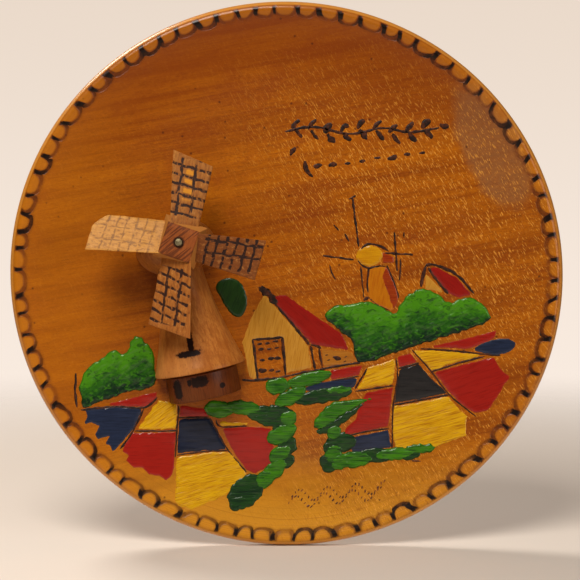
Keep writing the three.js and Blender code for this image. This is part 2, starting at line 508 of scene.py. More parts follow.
def leaf(x, z, length, width, turn):
    # outline of one brush dab: a pointed oval
    turn = math.radians(turn)
    upper = [(-0.35, 0.36), (0, 0.5), (0.33, 0.36)]
    lower = [(along, -across) for along, across in reversed(upper)]
    corners = []
    for along, across in [(-0.5, 0), *upper, (0.5, 0), *lower]:
        u = along * length * skins["dabLength"]
        v = across * width * skins["dabWidth"]
        corners.append((x + u * math.cos(turn) - v * math.sin(turn),
                        z + u * math.sin(turn) + v * math.cos(turn)))
    return corners


def patch(corners, stroke=0, **ways):
    # an outline with the brush's way in degrees and anything else that is its own
    return {"corners": corners, "stroke": stroke, **ways}


def facesOf(verts):
    # the faces round some vertices, always in the same order
    found = {face for vert in verts for face in vert.link_faces}
    return sorted(found, key=lambda face: tuple(face.calc_center_median()))


def measure(points, outline):
    # distance to the outline, whether each point lies inside it, and the nearest spot on it
    start = np.array(outline)
    end = np.roll(start, -1, axis=0)
    points = np.array(points)[:, None, :]
    side = (end - start)[None]
    share = np.clip(((points - start) * side).sum(2) / np.maximum((side ** 2).sum(2), 1e-9), 0, 1)
    nearest = start + share[..., None] * side
    gap = np.hypot(*np.moveaxis(points - nearest, 2, 0))
    best = gap.argmin(1)
    rows = np.arange(len(best))
    x, z = points[..., 0], points[..., 1]
    crosses = (start[:, 1] > z) != (end[:, 1] > z)
    slant = np.where(abs(end[:, 1] - start[:, 1]) < 1e-9, 1e-9, end[:, 1] - start[:, 1])
    cutX = start[:, 0] + (z - start[:, 1]) / slant * (end[:, 0] - start[:, 0])
    inside = (crosses & (x < cutX)).sum(1) % 2 == 1
    return gap[rows, best], inside, nearest[rows, best]


def heightsAt(x, sides):
    # where an upright line at x meets the sides of an outline
    return [a.y + (x - a.x) / (b.x - a.x) * (b.y - a.y) for a, b in sides if (a.x > x) != (b.x > x)]


def trimmedGrid(bm, outline, pitch):
    # a flat grid cut to an outline; returns its vertices and faces
    lowX, highX = min(p[0] for p in outline), max(p[0] for p in outline)
    lowZ, highZ = min(p[1] for p in outline), max(p[1] for p in outline)
    wide = max(2, round((highX - lowX) / pitch))
    high = max(2, round((highZ - lowZ) / pitch))
    grid = bmesh.ops.create_grid(bm, x_segments=wide, y_segments=high, size=0.5)["verts"]
    for vert in grid:
        x = (lowX + highX) / 2 + vert.co.x * (highX - lowX)
        z = (lowZ + highZ) / 2 + vert.co.y * (highZ - lowZ)
        vert.co = Vector((x, 0, z))
    faces = facesOf(grid)
    centres = [(face.calc_center_median().x, face.calc_center_median().z) for face in faces]
    inside = measure(centres, outline)[1]
    bmesh.ops.delete(bm, geom=[face for face, kept in zip(faces, inside) if not kept], context="FACES")
    verts = [vert for vert in grid if vert.is_valid]
    faces = [face for face, kept in zip(faces, inside) if kept]
    rim = [vert for vert in verts if vert.is_boundary]
    for vert, spot in zip(rim, measure([(v.co.x, v.co.z) for v in rim], outline)[2]):
        vert.co = Vector((spot[0], 0, spot[1]))
    inner = [vert for vert in verts if not vert.is_boundary]
    if inner:
        bmesh.ops.smooth_vert(bm, verts=inner, factor=0.5, use_axis_x=True, use_axis_z=True)
    return verts, faces


def layPaint(bm, corners, soft=False, thick=skins["thick"], ridge=0.05, stroke=0,
             pitch=0.5, waver=0.12, lumps=0.0):
    # one closed skin of paint: domed at its edge and ridged along the brush's way
    seed = random.uniform(0, 90)
    outline = []
    for spot in (rounded if soft else resample)(corners, skins["outlineStep"]):
        shift = noise.noise_vector(Vector((spot.x * 0.8, spot.y * 0.8, seed)))
        outline.append((spot.x + shift.x * waver * 2, spot.y + shift.y * waver * 2))
    verts, faces = trimmedGrid(bm, outline, pitch)
    brush = bm.verts.layers.float_vector["brush"]
    edge = bm.verts.layers.float["edge"]
    lift = bm.verts.layers.float["lift"]
    low = bm.verts.layers.float["low"]
    lean = math.radians(stroke)
    spots = [Vector(spot) for spot in outline]
    sides = list(zip(spots, spots[1:] + spots[:1]))
    ends = (min(spot[1] for spot in outline), max(spot[1] for spot in outline))
    for vert, gap in zip(verts, measure([(v.co.x, v.co.z) for v in verts], outline)[0]):
        x, z = vert.co.x, vert.co.z
        along = x * math.cos(lean) + z * math.sin(lean)
        across = z * math.cos(lean) - x * math.sin(lean)
        vert[brush] = Vector((along, across, seed))
        vert[edge] = gap
        rise = min(gap / skins["domeWidth"], 1)
        dome = math.sqrt(max(0, 1 - (1 - rise) ** 2))
        streak = noise.noise(Vector((along * 0.16, across * 1.5, seed)))
        lump = noise.noise(Vector((along * 0.45, across * 1.1, seed + 9)))
        vert[lift] = dome * (thick + skins["tuck"] + ridge * streak + lumps * lump) - skins["tuck"]
        crossed = heightsAt(x, sides) or ends
        bottom, peak = min(crossed), max(crossed)
        vert[low] = min(max((z - bottom) / max(peak - bottom, 1.5), 0), 1)
    top = bmesh.ops.extrude_face_region(bm, geom=faces, use_keep_orig=True)["geom"]
    for vert in top:
        if isinstance(vert, bmesh.types.BMVert):
            vert.co.y = faceAt(vert.co.x, vert.co.z) - vert[lift]
    for vert in verts:
        vert.co.y = faceAt(vert.co.x, vert.co.z) + skins["bed"]


def paintFinish(name, shades, streaks=0.5, gloss=0.22, relief=0.05, shaded=False, thin=None):
    paint = Finish(name)
    dark, middle, light = shades
    brush = paint.attribute("brush", "Vector")
    streak = paint.cloud(paint.stretch(brush, (5, 0.32, 1)), 3, 0.6)
    wide = paint.cloud(paint.stretch(brush, (9, 2.2, 1)), 2, 0.5)
    dirt = paint.cloud(paint.pattern((1.1, 1.1, 1.1)), 3, 0.7)
    edge = paint.attribute("edge")
    paint.color = tone(*middle)
    paint.stain(paint.ease(streak * 0.6 + wide * 0.4, 0.32, 0.68) * streaks, *light)
    paint.stain(paint.ease(streak, 0.5, 0.3) * (0.1 + 0.6 * streaks), *dark)
    if shaded:
        # dabs of light green above and dark green below
        low = paint.attribute("low")
        dab = paint.cloud(paint.pattern((4, 4, 2.6)), 3, 0.55, 1.8)
        swirl = paint.cloud(paint.pattern((2, 2, 1.3), 0, (7, 0, 3)), 2, 0.5, 1.4)
        paint.stain(paint.ease(low + dab * 0.7, 0.8, 1.15), *light)
        paint.stain(paint.ease(low + dab * 0.9, 0.85, 0.5), *dark)
        paint.stain(paint.ease(swirl, 0.54, 0.66) * 0.5, *light)
        paint.stain(paint.ease(swirl, 0.44, 0.34) * 0.6, *dark)
        paint.stain(paint.ease(edge, 0.6, 0.1) * 0.4, *dark)
    if thin:
        paint.stain(paint.ease(edge + dirt * 0.5, 0.7, 0.2) * 0.45, *thin)
    paint.stain(paint.ease(dirt, 0.6, 0.8) * 0.2, *dark)
    roughness = gloss + streak * 0.1 + dirt * 0.06
    return paint.done(roughness, streak * 0.7 + dirt * 0.3, relief, Coat_Weight=0.3, Coat_Roughness=0.12)


def paintSheet(name, slot, finish, areas, **ways):
    bm = bmesh.new()
    bm.verts.layers.float_vector.new("brush")
    for layer in ("edge", "lift", "low"):
        bm.verts.layers.float.new(layer)
    for area in areas:
        own = area if isinstance(area, dict) else patch(area)
        layPaint(bm, **{**ways, **own})
    bmesh.ops.recalc_face_normals(bm, faces=bm.faces)
    keep(name, bm, finish, "plate", sharp=60)


reds = [
    [(-55, -38), (-37.5, -33.8), (-38, -36.2), (-41.3, -38.4)],
    [(-45, -45.8), (-32.1, -45.6), (-32.6, -55.5), (-33.2, -58), (-35, -60), (-37, -58.4), (-40, -58),
     (-42, -56), (-44.5, -56), (-47, -53.5), (-46, -52.5), (-48, -51)],
    [(-31, -37.6), (-23.5, -38.8), (-22.6, -41.3), (-31.2, -41.3)],
    [(-19, -44.5), (-11.5, -44), (-4, -44.5), (-5.8, -47), (-3.5, -50), (-4.8, -52.5), (-4, -55), (-9, -58),
     (-11.6, -57), (-14, -54), (-16.5, -50)],
    [(12.5, -27.6), (22.4, -26), (21, -29.2), (12.8, -30.6)],
    [(39.2, -21), (50, -18.8), (61, -16), (60.4, -18.4), (53, -21.6)],
    [(32, -23.6), (36, -22.6), (38.3, -25.4), (32.6, -27)],
    patch([(42.6, -28.2), (53, -25.4), (60.3, -23.8), (62, -27), (65, -29.5), (63, -32), (61, -35.5),
           (58.5, -39.4), (54.6, -40.2), (50, -37), (47.3, -34.2)], 20),
    [(23, -34), (31, -32.6), (30.4, -38), (29.6, -44.2), (16, -47), (17.5, -44), (20, -42), (21, -38)],
]
blues = [
    [(-58.5, -38.8), (-50, -38.3), (-41.8, -38.8), (-44.6, -45), (-50.4, -51.6), (-51.3, -49.5),
     (-52.6, -49), (-51.6, -46.8), (-54.8, -47.6), (-55.6, -46), (-54.4, -43.8), (-56.5, -42.8),
     (-59, -43.2), (-57.8, -41)],
    [(53.6, -21.8), (56, -20), (59.5, -18.8), (64.3, -18.2), (66.4, -19.4), (66, -21.4), (64, -22.6),
     (60.5, -23.4), (57, -22.8)],
    [(17, -47.6), (29.6, -45), (30.6, -50.3), (25, -51), (19.5, -52.3)],
    [(3, -33.6), (9, -31.2), (21, -29.6), (19.6, -32.8), (10, -33.8)],
]
# painted shade: the blue field below the tower, painted darker where the tower's shadow falls on it
bluesInShade = [
    [(-31.4, -41.8), (-22.4, -41.6), (-20, -46), (-17.3, -50.8), (-24, -51.2), (-31.9, -52)],
]
greyBlues = [
    [(32.6, -27.4), (38.6, -25.8), (42, -30), (47, -34.4), (39, -36), (31.2, -37.4)],
]
yellows = [
    patch([(-37.2, -36.2), (-31.7, -37.6), (-32.1, -45), (-43.6, -44.9)], 35),
    patch([(-32.2, -53), (-24.5, -51.7), (-16.8, -51.4), (-14, -54.6), (-11.6, -58), (-14.5, -62),
           (-20.5, -65.4), (-27.5, -68), (-31.5, -67), (-32.6, -65), (-32.3, -60)], 15),
    [(-20.2, -42.6), (-11, -43), (-10.5, -43.8), (-19, -44)],
    patch([(36.7, -21.8), (44, -21.9), (57, -23.1), (53, -24.6), (47, -26), (42, -27.8)], 10),
    patch([(23.6, -26.6), (27, -25.8), (31.4, -24.2), (31.6, -26), (31, -31.8), (20.2, -33.4),
           (22.4, -29.6)], 20),
    patch([(31, -38.2), (39, -36.8), (47, -35.2), (50, -38.8), (52.6, -41), (52, -44), (52.3, -46.8),
           (47, -48.4), (42.5, -50.5), (37, -50.2), (31.6, -51), (30.8, -46)], 15),
]
creams = [
    patch([(-6.4, -5.2), (-3.5, -8.8), (1.5, -14.5), (6.4, -20.6), (7.4, -27), (0, -28.6), (-1, -18.3),
           (-9.9, -18.8), (-8.6, -29.6), (-9.5, -30.4), (-11, -29.6), (-11.8, -25), (-13, -19.6),
           (-10.5, -12.5)], 80),
    patch([(40.1, 0.8), (42.5, -1.6), (46.3, -5.6), (43, -4.6), (40.1, -4)], 60),
]
sideWalls = [
    patch([(9.8, -21), (13, -21.6), (18.4, -22.2), (21, -24.9), (16, -26.2), (10.8, -26.9)], 5),
]
roofs = [
    patch([(-5.6, -6.2), (-4, -6), (-0.4, -5.6), (5, -9.4), (11, -13.5), (16, -17), (18.4, -22),
           (13, -21.2), (7.2, -20.2), (1.8, -14)], -40),
    patch([(41, 1.8), (43, 2.6), (49.5, -0.7), (53.8, -5.7), (50, -6.6), (47.2, -5.6)], -40),
]
ambers = [
    patch([(24.2, 2), (28.4, 2.4), (30, -2), (31.8, -6.4), (30.6, -10.2), (27, -9.2), (24, -7.2),
           (23.4, -2.4)], 80, soft=True),
]
caps = [
    patch(leaf(24, 5.6, 7.2, 5.2, 5), soft=True, thick=0.2),
]
rusts = [
    [(27.6, 6.8), (31, 5.4), (31.2, 3.6), (27.8, 3.4)],
    patch([(28.6, 2.2), (30, 0.5), (32.4, -6.2), (30.8, -9.8), (29, -5), (27.6, -1)], soft=True),
]
bushes = [
    patch([(-60.2, -32.5), (-58.5, -28), (-54.5, -24.5), (-50, -21.8), (-47, -23), (-45.4, -20),
           (-43.6, -17.6), (-41.6, -18.8), (-39, -22), (-38.2, -27), (-38.5, -32.2), (-46, -34),
           (-53, -36.4), (-58.5, -38.4), (-59.6, -36)], 40, soft=True),
    patch([(11.6, -12.6), (12.6, -9.6), (17, -8.6), (23.2, -7.8), (27.5, -9), (30.9, -11), (33.4, -8),
           (36, -5.2), (39.1, -4), (43, -5), (47.2, -8), (50, -7), (53.7, -6.4), (57.6, -9.6),
           (58.6, -13.4), (50, -16.6), (39.5, -20), (30, -23.2), (23, -25.4), (20, -24.2), (19, -19.4),
           (17, -17.6)], 30, soft=True),
]
lightDabs = [
    leaf(-19.8, -38.9, 8, 4.4, -4), leaf(-12.5, -38.6, 9.5, 3.8, -6), leaf(0.4, -41.8, 5, 4, 20),
    leaf(-1.4, -46.3, 8.6, 4.6, 28),
    leaf(-1.9, -52.2, 7, 4, 32), leaf(-3.6, -56.8, 8, 4.2, 42), leaf(-6.2, -59.4, 5.4, 4.2, 50),
    leaf(-2.5, -32.3, 6.4, 4.2, 8), leaf(6.5, -30.2, 12.5, 3.6, 14), leaf(1.2, -35.4, 9.5, 3.8, 26),
    leaf(15, -33.4, 7, 2.2, 4),
    [(7.6, -44.2), (10, -39.8), (14, -36.8), (19, -36.2), (25.3, -35.8), (20.5, -38.4), (15, -41.6),
     (11, -44.6)],
    leaf(13.8, -45.8, 4.4, 3.4, 40), leaf(13.7, -52, 5.4, 4.4, 60), leaf(19.2, -53.8, 11, 4, 4),
    leaf(31.5, -52, 10.5, 3.2, 6),
    leaf(38.8, -50.4, 8.4, 2.6, 4), leaf(15.4, -55, 5, 3, 10),
]
darkDabs = [
    leaf(-6.2, -40.6, 10.5, 4.4, -8), leaf(-1.8, -40.6, 8, 5, -10), leaf(-5, -42.4, 8, 3, -14),
    leaf(0.4, -49.4, 5, 5, 40),
    leaf(0, -53.8, 4.4, 4, 30), leaf(-1.6, -44, 5, 3, 10),
    leaf(-11.8, -63, 11, 7.4, 40), leaf(-14.4, -66.2, 4.6, 3.4, 30), leaf(10.2, -35.2, 16.5, 3.8, 9),
    [(8.4, -45.2), (12, -43), (19.5, -38.6), (23.5, -36.6), (18.6, -41.4), (13, -45.4), (9.6, -46.4)],
    leaf(15.9, -48.9, 8.4, 5, 10), leaf(12.3, -54.6, 5, 5, 0), leaf(25.6, -52.6, 11, 4, 4),
    leaf(36, -52.4, 5.4, 2.4, 8),
    leaf(13.4, -50.4, 4, 5, 80),
]
treeBehind = [
    patch([(-20.6, -3), (-17.8, -0.9), (-14, -1.6), (-11.9, -5), (-11.6, -9.4), (-13.6, -12.4),
           (-16.4, -11), (-19, -7)], 70, soft=True),
]


def makePaint():
    red = paintFinish("redPaint", paints["red"], thin=(150, 78, 20))
    paintSheet("paint_red_fields", "paint_red", red, reds, ridge=0.03)
    paintSheet("paint_roofs", "paint_red", paintFinish("roofRed", paints["roof"]), roofs)
    blue = paintFinish("bluePaint", paints["blue"], thin=(70, 50, 40))
    paintSheet("paint_blue_fields", "paint_blue", blue, blues, ridge=0.03)
    # the darker blue stands for the tower's shadow on this field
    paintSheet("paint_blue_in_shade", "paint_blue", paintFinish("blueInShadePaint", paints["blueInShade"]), bluesInShade, ridge=0.03)
    slate = paintFinish("slatePaint", paints["slate"])
    paintSheet("paint_slate_field", "paint_blue", slate, greyBlues, ridge=0.03)
    yellow = paintFinish("yellowPaint", paints["yellow"], 0.9, 0.22, 0.14, thin=(190, 120, 20))
    paintSheet("paint_yellow_fields", "paint_yellow", yellow, yellows,
               thick=0.2, ridge=0.12, pitch=0.4, waver=0.2)
    cream = paintFinish("creamPaint", paints["cream"], 0.6, 0.35)
    paintSheet("paint_cream_walls", "paint_cream", cream, creams, thick=0.12)
    side = paintFinish("sidePaint", paints["side"], 0.6, 0.35)
    paintSheet("paint_side_wall", "paint_cream", side, sideWalls, thick=0.1)
    amber = paintFinish("amberPaint", paints["amber"], thin=(176, 84, 10))
    paintSheet("paint_amber_mill", "paint_orange", amber, ambers)
    rust = paintFinish("rustPaint", paints["rust"], thin=(168, 80, 12))
    paintSheet("paint_rust_mill", "paint_orange", rust, rusts, thick=0.17, pitch=0.28, waver=0.05)
    paintSheet("paint_mill_cap", "paint_yellow", paintFinish("capYellow", paints["cap"]), caps)
    bush = paintFinish("bushGreen", paints["leaf"], 0.2, 0.26, 0.1, True)
    paintSheet("paint_bushes", "paint_green", bush, bushes,
               thick=0.36, ridge=0.1, pitch=0.42, waver=0.3, lumps=0.24)
    deep = paintFinish("deepGreen", paints["deep"], 0.7, 0.24, 0.16)
    paintSheet("paint_dark_leaves", "paint_dark_green", deep, darkDabs,
               soft=True, thick=0.34, ridge=0.14, pitch=0.4, waver=0.3, lumps=0.1)
    fresh = paintFinish("leafGreen", paints["leaf"], 0.9, 0.25, 0.16)
    paintSheet("paint_leaves", "paint_green", fresh, lightDabs,
               soft=True, thick=0.46, ridge=0.18, pitch=0.4, waver=0.25, lumps=0.12)
    tree = paintFinish("treeGreen", paints["tree"], 0.6, 0.3)
    paintSheet("paint_tree", "paint_dark_green", tree, treeBehind, thick=0.22)


# ---- burnt lines ----

burnt = {
    "step": 0.45,
    "proud": 0.1,
    "sunk": 0.16,
    "taperLength": 2.5,  # in steps
    "taperEnd": 0.45,
    "bar": ((-1, -0.02), (-0.55, 0.7), (0.55, 0.7), (1, -0.02), (0.6, -1), (-0.6, -1)),
}


def burnLine(bm, corners, width, soft=True, lift=0.0):
    # a charred line: a flat rounded bar half sunk in the face, of uneven width
    spots = (rounded if soft else resample)(corners, burnt["step"], False)
    seed = random.uniform(0, 90)
    rings = []
    last = len(spots) - 1
    for index, spot in enumerate(spots):
        way = (spots[min(index + 1, last)] - spots[max(index - 1, 0)]).normalized()
        side = Vector((-way.y, way.x))
        fromEnd = min(index, last - index) / burnt["taperLength"]
        taper = burnt["taperEnd"] + (1 - burnt["taperEnd"]) * min(1, fromEnd)
        half = width / 2 * taper * (1 + 0.7 * noise.noise(Vector((spot.x * 0.7, spot.y * 0.7, seed))))
        drift = 0.25 * width * noise.noise(Vector((spot.x * 0.5, spot.y * 0.5, seed + 5)))
        middle = spot + side * drift
        ring = []
        for across, rise in burnt["bar"]:
            x, z = middle + side * across * half
            height = rise * burnt["proud"] + lift if rise > 0 else rise * burnt["sunk"]
            ring.append(Vector((x, faceAt(x, z) - height, z)))
        rings.append(ring)
    face = bm.faces.new([bm.verts.new(spot) for spot in rings[0]])
    for number, ring in enumerate(rings[1:]):
        grown = bmesh.ops.extrude_face_region(bm, geom=[face], use_keep_orig=number == 0)["geom"]
        face = next(item for item in grown if isinstance(item, bmesh.types.BMFace))
        for vert, spot in zip(face.verts, ring):
            vert.co = spot


def burnDot(bm, x, z, size, stretch=1.0, turn=0.0, lift=0.0):
    turn = math.radians(turn)
    half = Vector((math.cos(turn), math.sin(turn))) * size * stretch / 2
    burnLine(bm, [(x - half.x, z - half.y), (x, z), (x + half.x, z + half.y)], size, True, lift)


def charFinish():
    char = Finish("burntWood")
    uneven = char.cloud(char.pattern((1.6, 1.6, 1.6)), 3, 0.6)
    fine = char.cloud(char.pattern((0.35, 0.35, 0.35)), 2, 0.6)
    char.color = tone(24, 10, 5)
    char.stain(char.ease(uneven, 0.42, 0.68), 74, 32, 10)
    char.stain(char.ease(fine, 0.55, 0.75) * 0.3, 98, 48, 18)
    return char.done(0.42 + fine * 0.25, fine, 0.08, Coat_Weight=0.2, Coat_Roughness=0.3)


def scorchFinish():
    scorch = Finish("scorchedWood")
    uneven = scorch.cloud(scorch.pattern((1.4, 1.4, 1.4)), 3, 0.6)
    scorch.color = tone(70, 30, 10)
    scorch.stain(scorch.ease(uneven, 0.38, 0.66), 132, 72, 26)
    return scorch.done(0.45 + uneven * 0.2, uneven, 0.06, Coat_Weight=0.2, Coat_Roughness=0.3)


fieldLines = [
    [(-59.6, -39), (-50, -38.2), (-41.6, -38.6), (-37.6, -35.6)],
    [(-41.5, -38.8), (-44.6, -45.2), (-48.3, -50.4)],
    [(-44.2, -45.3), (-38, -45.4), (-32, -45.3)],
    [(-31.4, -38), (-32, -46), (-32.5, -53)],
    [(-31.4, -41.5), (-22.6, -41.4)],
    [(-22.4, -41.6), (-17.2, -50.8), (-11.8, -57.4)],
    [(-32, -52.4), (-24, -51.4), (-17, -51.1)],
    [(-20.6, -42.2), (-19, -44.2), (-11.5, -43.9)],
    [(36.4, -21.6), (42, -28), (47.2, -34.7), (54.9, -41)],
    [(31.8, -24), (32.2, -30), (31, -38), (30.7, -50.5)],
    [(31, -37.8), (39, -36.4), (47.2, -34.8)],
    [(16, -47.3), (23, -45.6), (29.8, -44.7)],
    [(42.2, -28.1), (50, -25.6), (57.5, -23.6)],
    [(32.4, -27.2), (38.5, -25.6)],
    [(20, -33.8), (31, -32.2)],
    [(39, -21.4), (48, -22), (55.5, -22.8), (62, -23.4)],
    [(20, -33), (23.4, -27.2)],
    [(13, -30.8), (21, -29.4)],
]
houseLines = [
    [(-13, -30.5), (-9, -30.6), (-0.5, -29.5), (8, -27.7), (21.4, -25.4)],
    [(7, -20.6), (8.2, -27.4)],
    [(9.3, -21.2), (10.4, -26.9)],
    [(-9.9, -18.8), (-8.4, -30.2)],
    [(-9.9, -18.7), (-5, -18.4), (-1.2, -18)],
    [(-1.2, -18.2), (-0.4, -29)],
    [(7, -20.2), (8.6, -20.6), (10, -21.2)],
    [(-8.2, -3.6), (-6, -4.8), (-3, -7.8)],
    [(-7.6, -4), (-5.4, -5.4), (-3.4, -8.2)],
    [(-3.6, -8), (1.2, -13.6), (6.6, -20.2)],
    [(-61, -28.4), (-61.3, -33), (-60.8, -38.2)],
]
barnLines = [
    [(39, -3.4), (39.4, -0.5), (40.2, 2.8)],
    [(40.2, 2.8), (43, 3), (49.6, -0.1), (54.2, -5.4)],
    [(41, 2), (44, -2.2), (46.9, -5.4)],
]
littleMill = [
    [(19, 22.5), (19.7, 17), (20.9, 8.2)],
    [(10.5, 5.6), (15, 5), (19.4, 4.5)],
    [(21.4, 2.6), (21.9, -2), (22.4, -6.6)],
    [(28.4, 6.4), (32, 6.2), (36.6, 6)],
    [(31.2, 12.4), (31.6, 6.5), (32, 1.2)],
    [(33.9, 12.4), (34, 10.8)],
    [(33, 4.6), (32.9, 1.4), (32.6, -1.6)],
    [(16.9, 12), (18, 9.8)],
    [(12.5, 3), (13, 0.8), (14.2, -1.2)],
    [(13.5, 14.6), (15, 13)],
    [(23.9, 2.1), (26.5, 2.6), (28.6, 2.6)],
    [(23.9, 2), (23.4, -1.6), (23.6, -5)],
    [(29, 2.8), (31, -2), (32.6, -6.6)],
    [(21.6, 7.6), (23.6, 8.9), (26.6, 8.6), (29.6, 7)],
    [(20.6, 4.2), (22.2, 2.6), (24.6, 2), (27.4, 2.8)],
    [(23.6, -6.2), (26, -8.4), (29.6, -10.2)],
    [(18, 22), (20, 23)],
]
sprigTwigs = [
    [(5.2, 33), (5.6, 30.4), (7.6, 28.4)],
    [(2.5, 37), (1, 34.6)],
]
garlandEnd = [
    [(36.4, -54), (39, -54.2)],
]


def burntPiece(name, runs, width, lift=0.0, extra=None, finish=None):
    bm = bmesh.new()
    for run in runs:
        burnLine(bm, run, width * random.uniform(0.8, 1.2), True, lift)
    if extra:
        extra(bm)
    bmesh.ops.recalc_face_normals(bm, faces=bm.faces)
    keep(name, bm, finish, "plate", sharp=60)


def addBoards(bm):
    # planks of the big door, the window and the scorched ridge
    for row, z in enumerate((-19.8, -21.6, -24.6, -28)):
        for column in range(3):
            x = -7.6 + column * 2.3 + row * 0.25 + random.uniform(-0.3, 0.3)
            height = z + random.uniform(-0.3, 0.3) + column * 0.15
            burnDot(bm, x, height, random.uniform(0.9, 1.5), random.uniform(1.2, 1.7), 10)
    onPaint = 0.12
    burnDot(bm, 14.6, -24.1, 1.5, 1.6, -8, onPaint)
    for spot in ((11.6, -23.2), (12.2, -24.6), (17.2, -23.8), (16.9, -25)):
        burnDot(bm, *spot, 0.55, 1.5, 20, onPaint)
    burnLine(bm, [(-7.8, -3.8), (-6, -4.9), (-4.4, -6.4), (-3, -8.4)], 2.3, True, 0.1)


def addMillSpots(bm):
    burnDot(bm, 23, -6.9, 1.3, 1.2, 20)
    burnDot(bm, 19.3, 19.6, 0.9, 2.4, 98)


def addSprig(bm):
    # an ornament in place of the lettering: a stem with leaves, and a dotted stem below it
    burnLine(bm, [(-0.5, 41.5), (8, 42.8), (18, 40.8), (28, 42.4), (36, 41.2), (44, 42.6)], 0.7)
    for index in range(9):
        x = 1.5 + index * 4.7
        z = 41.7 + 0.8 * math.sin(x * 0.33 + 0.6)
        size = random.uniform(1.1, 1.8)
        burnLine(bm, [(x, z), (x + 1, z + 1.5), (x + 2.3, z + random.uniform(2, 3))], size)
        burnLine(bm, [(x + 0.8, z - 0.3), (x + 2, z - 1.8), (x + 3, z - random.uniform(2.2, 3.4))], size)
    burnDot(bm, 45.4, 43, 2.1, 1.3, -20)
    for index in range(8):
        x = 9 + index * 4.3
        z = 31.4 + index * 0.55 + random.uniform(-0.3, 0.3)
        burnDot(bm, x, z, random.uniform(1.1, 1.6), random.uniform(1.1, 1.8), 12)


def addGarland(bm):
    # two dotted waves side by side, like a ribbon
    for index in range(30):
        for side in (-1, 1):
            x = 1.2 + index * 0.92 + side * 0.5
            z = -65.4 + index * 0.1 + side * 0.9 + 1.7 * math.sin(index * 0.7)
            burnDot(bm, x, z, random.uniform(0.5, 0.8), 1.2, random.uniform(30, 90))


def makeBurntLines():
    char = charFinish()
    burntPiece("burnt_field_lines", fieldLines, 0.54, 0.05, None, char)
    burntPiece("burnt_house_lines", houseLines, 0.75, 0.06, addBoards, char)
    burntPiece("burnt_barn_lines", barnLines, 0.85, 0.06, None, char)
    burntPiece("burnt_little_mill", littleMill, 0.55, 0.06, addMillSpots, char)
    burntPiece("burnt_sprig", sprigTwigs, 1.2, 0, addSprig, char)
    burntPiece("burnt_garland", garlandEnd, 0.6, 0, addGarland, scorchFinish())


# ---- mill tower ----

nailLow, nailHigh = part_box("axle_nail")
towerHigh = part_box("mill_tower")[1]
tower = {
    "drumRadius": 10.5,
    "drumHeight": 8,
    "grooveRadius": 9.6,
    "grooveHeight": 0.7,
    "skirtRadius": 13.2,
    "skirtEdge": 0.7,
    "flareRadius": 7.1,
    "flareHeight": 18,
    "flareSteps": 34,
    "neckRadius": 6.4,
    "neckHeight": 29.3,
    "capRadius": 11.6,
    "capHalfHeight": 8.3,
    "capSteps": 30,
    "lean": math.radians(11.3),
    "nailAside": 2.4,
    "nailAboveCap": 1.1,
    "glue": 0.28,
    "turns": 144,
    "unevenness": 0.05,
    "darkWood": (146, 82, 30),
    "lightWood": (176, 110, 46),
    # the drum's colour: its own redder wood, darkened as painted shade under the skirt's overhang
    "drumWoodAndShade": (84, 34, 6),
    # burnt marks on the front: place, half width and half height
    "marks": ((-6.9, 4, 1.1, 2.6), (-0.2, 5.4, 2.3, 1.5), (5.9, 3, 0.7, 0.7),
              (-0.6, 16.8, 0.75, 3.3), (-1.4, 13.8, 3, 0.8), (-3.1, 5.5, 0.6, 0.8)),
}
tower["neckTop"] = tower["drumHeight"] + tower["neckHeight"]
tower["capAngle"] = math.degrees(math.acos(tower["neckRadius"] / tower["capRadius"]))
tower["capCentre"] = tower["neckTop"] + tower["capHalfHeight"] * math.sin(math.radians(tower["capAngle"]))
nailSpot = Vector(((nailLow.x + nailHigh.x) / 2, 0, (nailLow.z + nailHigh.z) / 2)) / mm
towerTurn = Matrix.Rotation(-tower["lean"], 3, "Y")
towerSpot = nailSpot - towerTurn @ Vector((tower["nailAside"], 0, tower["capCentre"] + tower["nailAboveCap"]))
towerSpot.y = towerHigh.y / mm


def towerFinish():
    wood = Finish("turnedTowerWood")

    def along(size):
        return wood.pattern(size, -tower["lean"], tuple(towerSpot))

    x, y, z = wood.parts(along((1, 1, 1)))
    grain = wood.cloud(along((1.1, 1.1, 16)), 4, 0.6, 0.2)
    fine = wood.cloud(along((0.3, 0.3, 5)), 2, 0.6)
    blotch = wood.cloud(along((5, 5, 9)), 3, 0.6)
    pores = wood.cloud(along((0.22, 0.22, 1.3)), 1, 0.5)
    rough = wood.cloud(along((0.8, 0.8, 0.8)), 3, 0.6)
    wood.color = tone(*tower["darkWood"])
    wood.stain(wood.ease(grain, 0.32, 0.7), *tower["lightWood"])
    wood.stain(wood.ease(fine, 0.4, 0.7) * 0.35, 112, 58, 22)
    wood.stain(wood.ease(blotch, 0.45, 0.72) * 0.4, 146, 76, 24)
    pale = wood.ease(z + blotch * 8, 24, 13) * wood.ease(blotch * 4 - x, -1, 5)
    wood.stain(pale * 0.4, 204, 138, 76)
    wood.stain(wood.ease(pores, 0.64, 0.74) * 0.45, 86, 42, 18)
    # painted shade: the whole drum darkened, as in the shadow of the skirt above it, over its own redder wood
    drum = wood.ease(z, tower["drumHeight"] + 0.2, tower["drumHeight"] - 0.4)
    wood.stain(drum * 0.9, *tower["drumWoodAndShade"])
    wood.stain(drum * wood.ease(fine, 0.48, 0.66) * 0.6, 64, 28, 8)
    marks = 0
    for atX, atZ, halfX, halfZ in tower["marks"]:
        away = ((abs(x - atX) / halfX) ** 3 + (abs(z - atZ) / halfZ) ** 3) ** 0.333 + rough * 1.1
        marks = wood.maths("MAXIMUM", marks, wood.ease(away, 2.1, 1.3))
    marks = marks * wood.ease(y, -2, -4)
    wood.stain(wood.ease(marks, 0.0, 0.5) * 0.45, 98, 44, 16)
    wood.stain(wood.ease(marks, 0.35, 0.85), 30, 14, 8)
    height = grain * 0.4 + fine * 0.3 - pores * 0.3 - marks * 0.8
    return wood.done(0.36 + fine * 0.16 + marks * 0.12, height, 0.1,
                     Coat_Weight=0.1, Coat_Roughness=0.2, Specular_IOR_Level=softGloss / 2)


